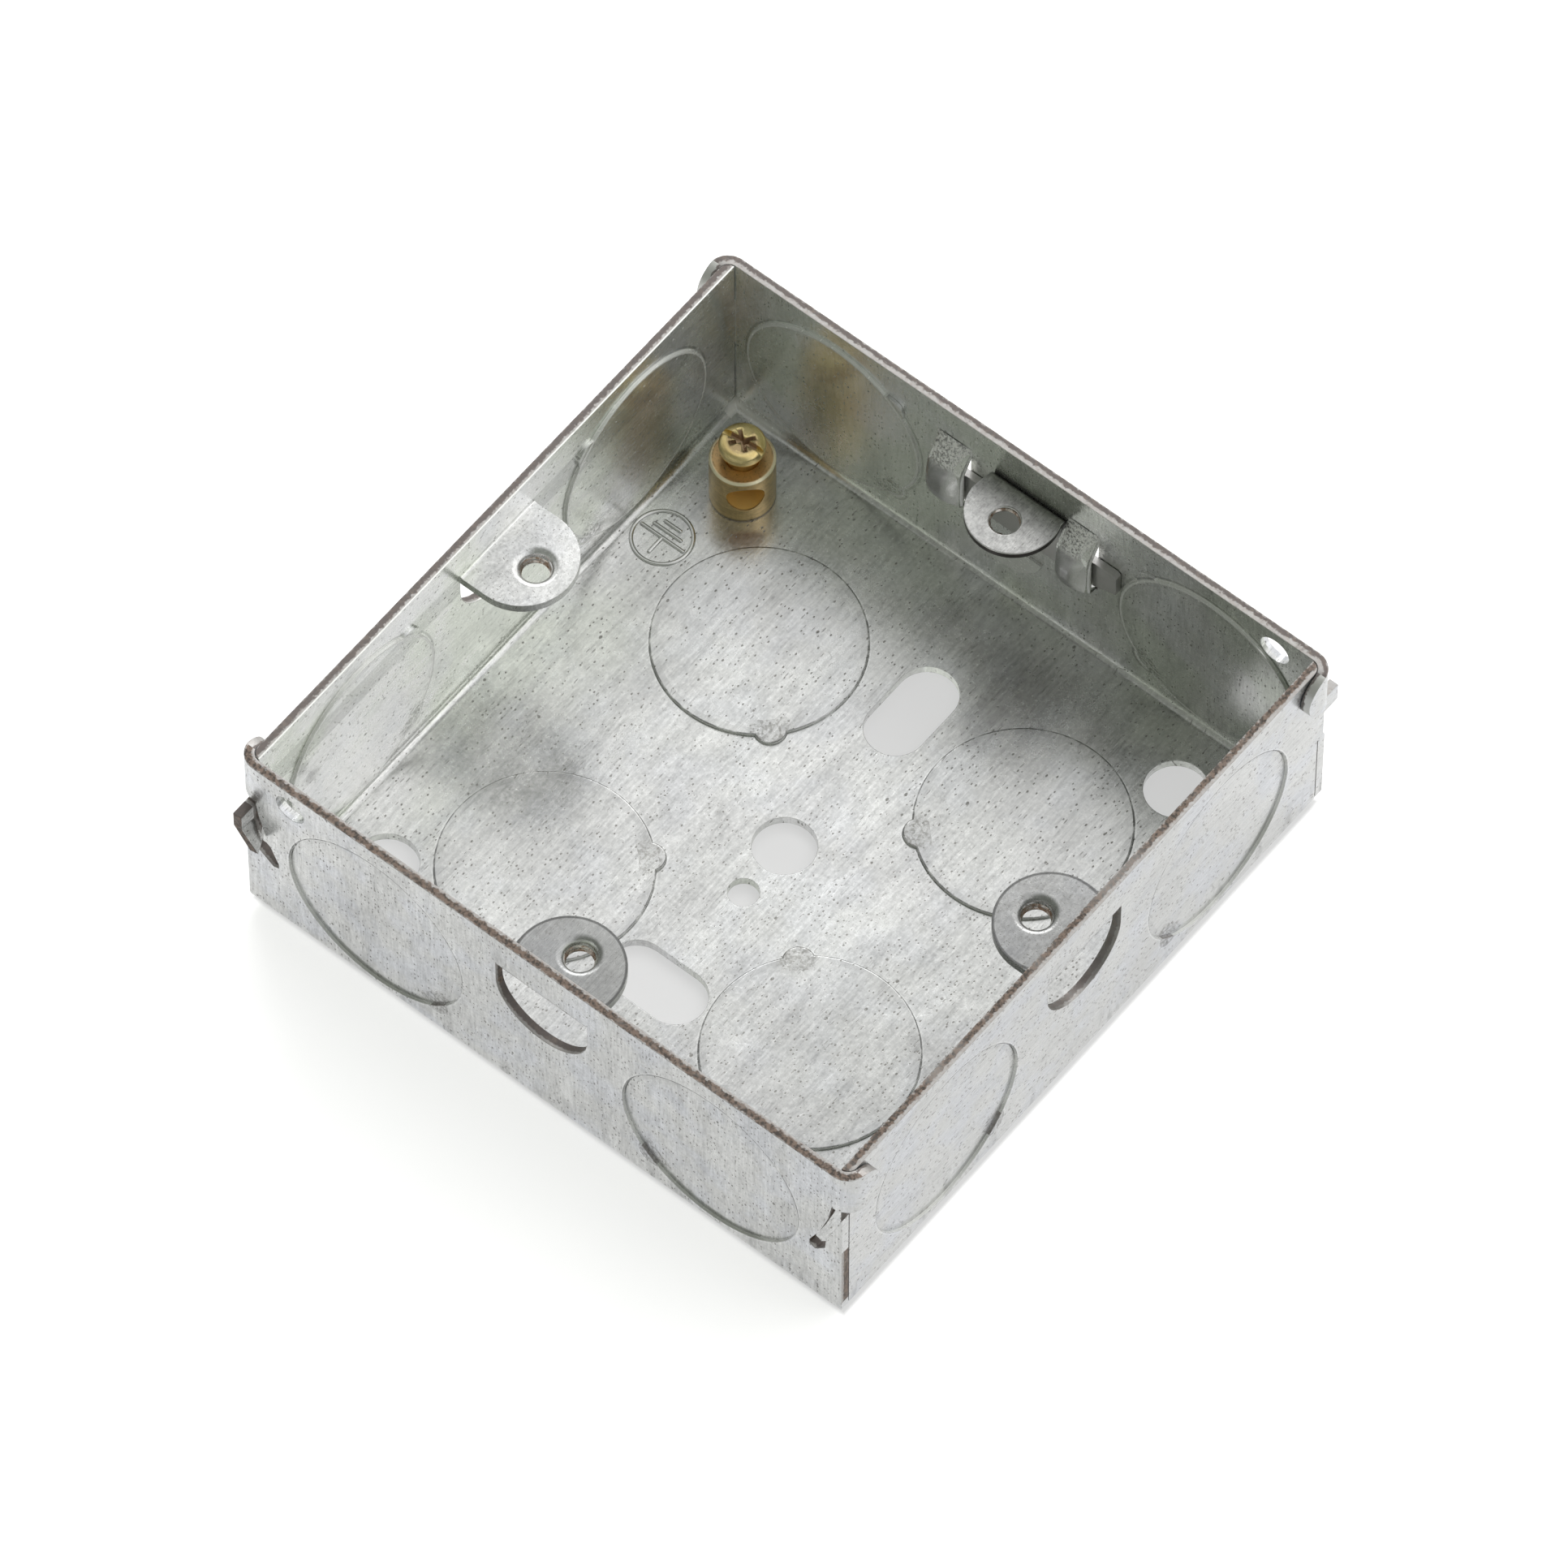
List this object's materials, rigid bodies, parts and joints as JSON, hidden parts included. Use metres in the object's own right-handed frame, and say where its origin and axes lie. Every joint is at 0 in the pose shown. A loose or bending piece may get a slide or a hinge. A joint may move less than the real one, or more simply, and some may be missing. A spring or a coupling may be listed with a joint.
{
  "type": "flush back box",
  "caption": "Open square wall box folded from galvanised sheet, with round knockouts, threaded faceplate lugs, a sliding lug and a brass earth terminal.",
  "frame": {"origin": "middle of the back's outer face", "axes": "+Z out of the open side, +Y towards the wall with the sliding lug, +X to the wall on its right"},
  "size_m": [0.0738, 0.076, 0.0253],
  "materials": {
    "galvanised_sheet": "galvanised, half bright, with fine specks",
    "lug_sheet": "zinc plated, dull",
    "terminal_brass": "turned, dull",
    "screw_brass": "bright"
  },
  "bodies": {
    "box": {"back_box": "galvanised_sheet", "earth_terminal": "terminal_brass"},
    "lug": {"adjustable_lug": "lug_sheet"},
    "screw": {"terminal_screw": "screw_brass"}
  },
  "joints": [
    {"name": "lug_slide", "type": "slide", "parent": "box", "child": "lug", "axis": [1, 0, 0], "range_m": [-0.0024, 0.00005]},
    {"name": "screw_travel", "type": "slide", "parent": "box", "child": "screw", "axis": [0, 0, 1], "range_m": [-0.00155, 0.0006]}
  ]
}
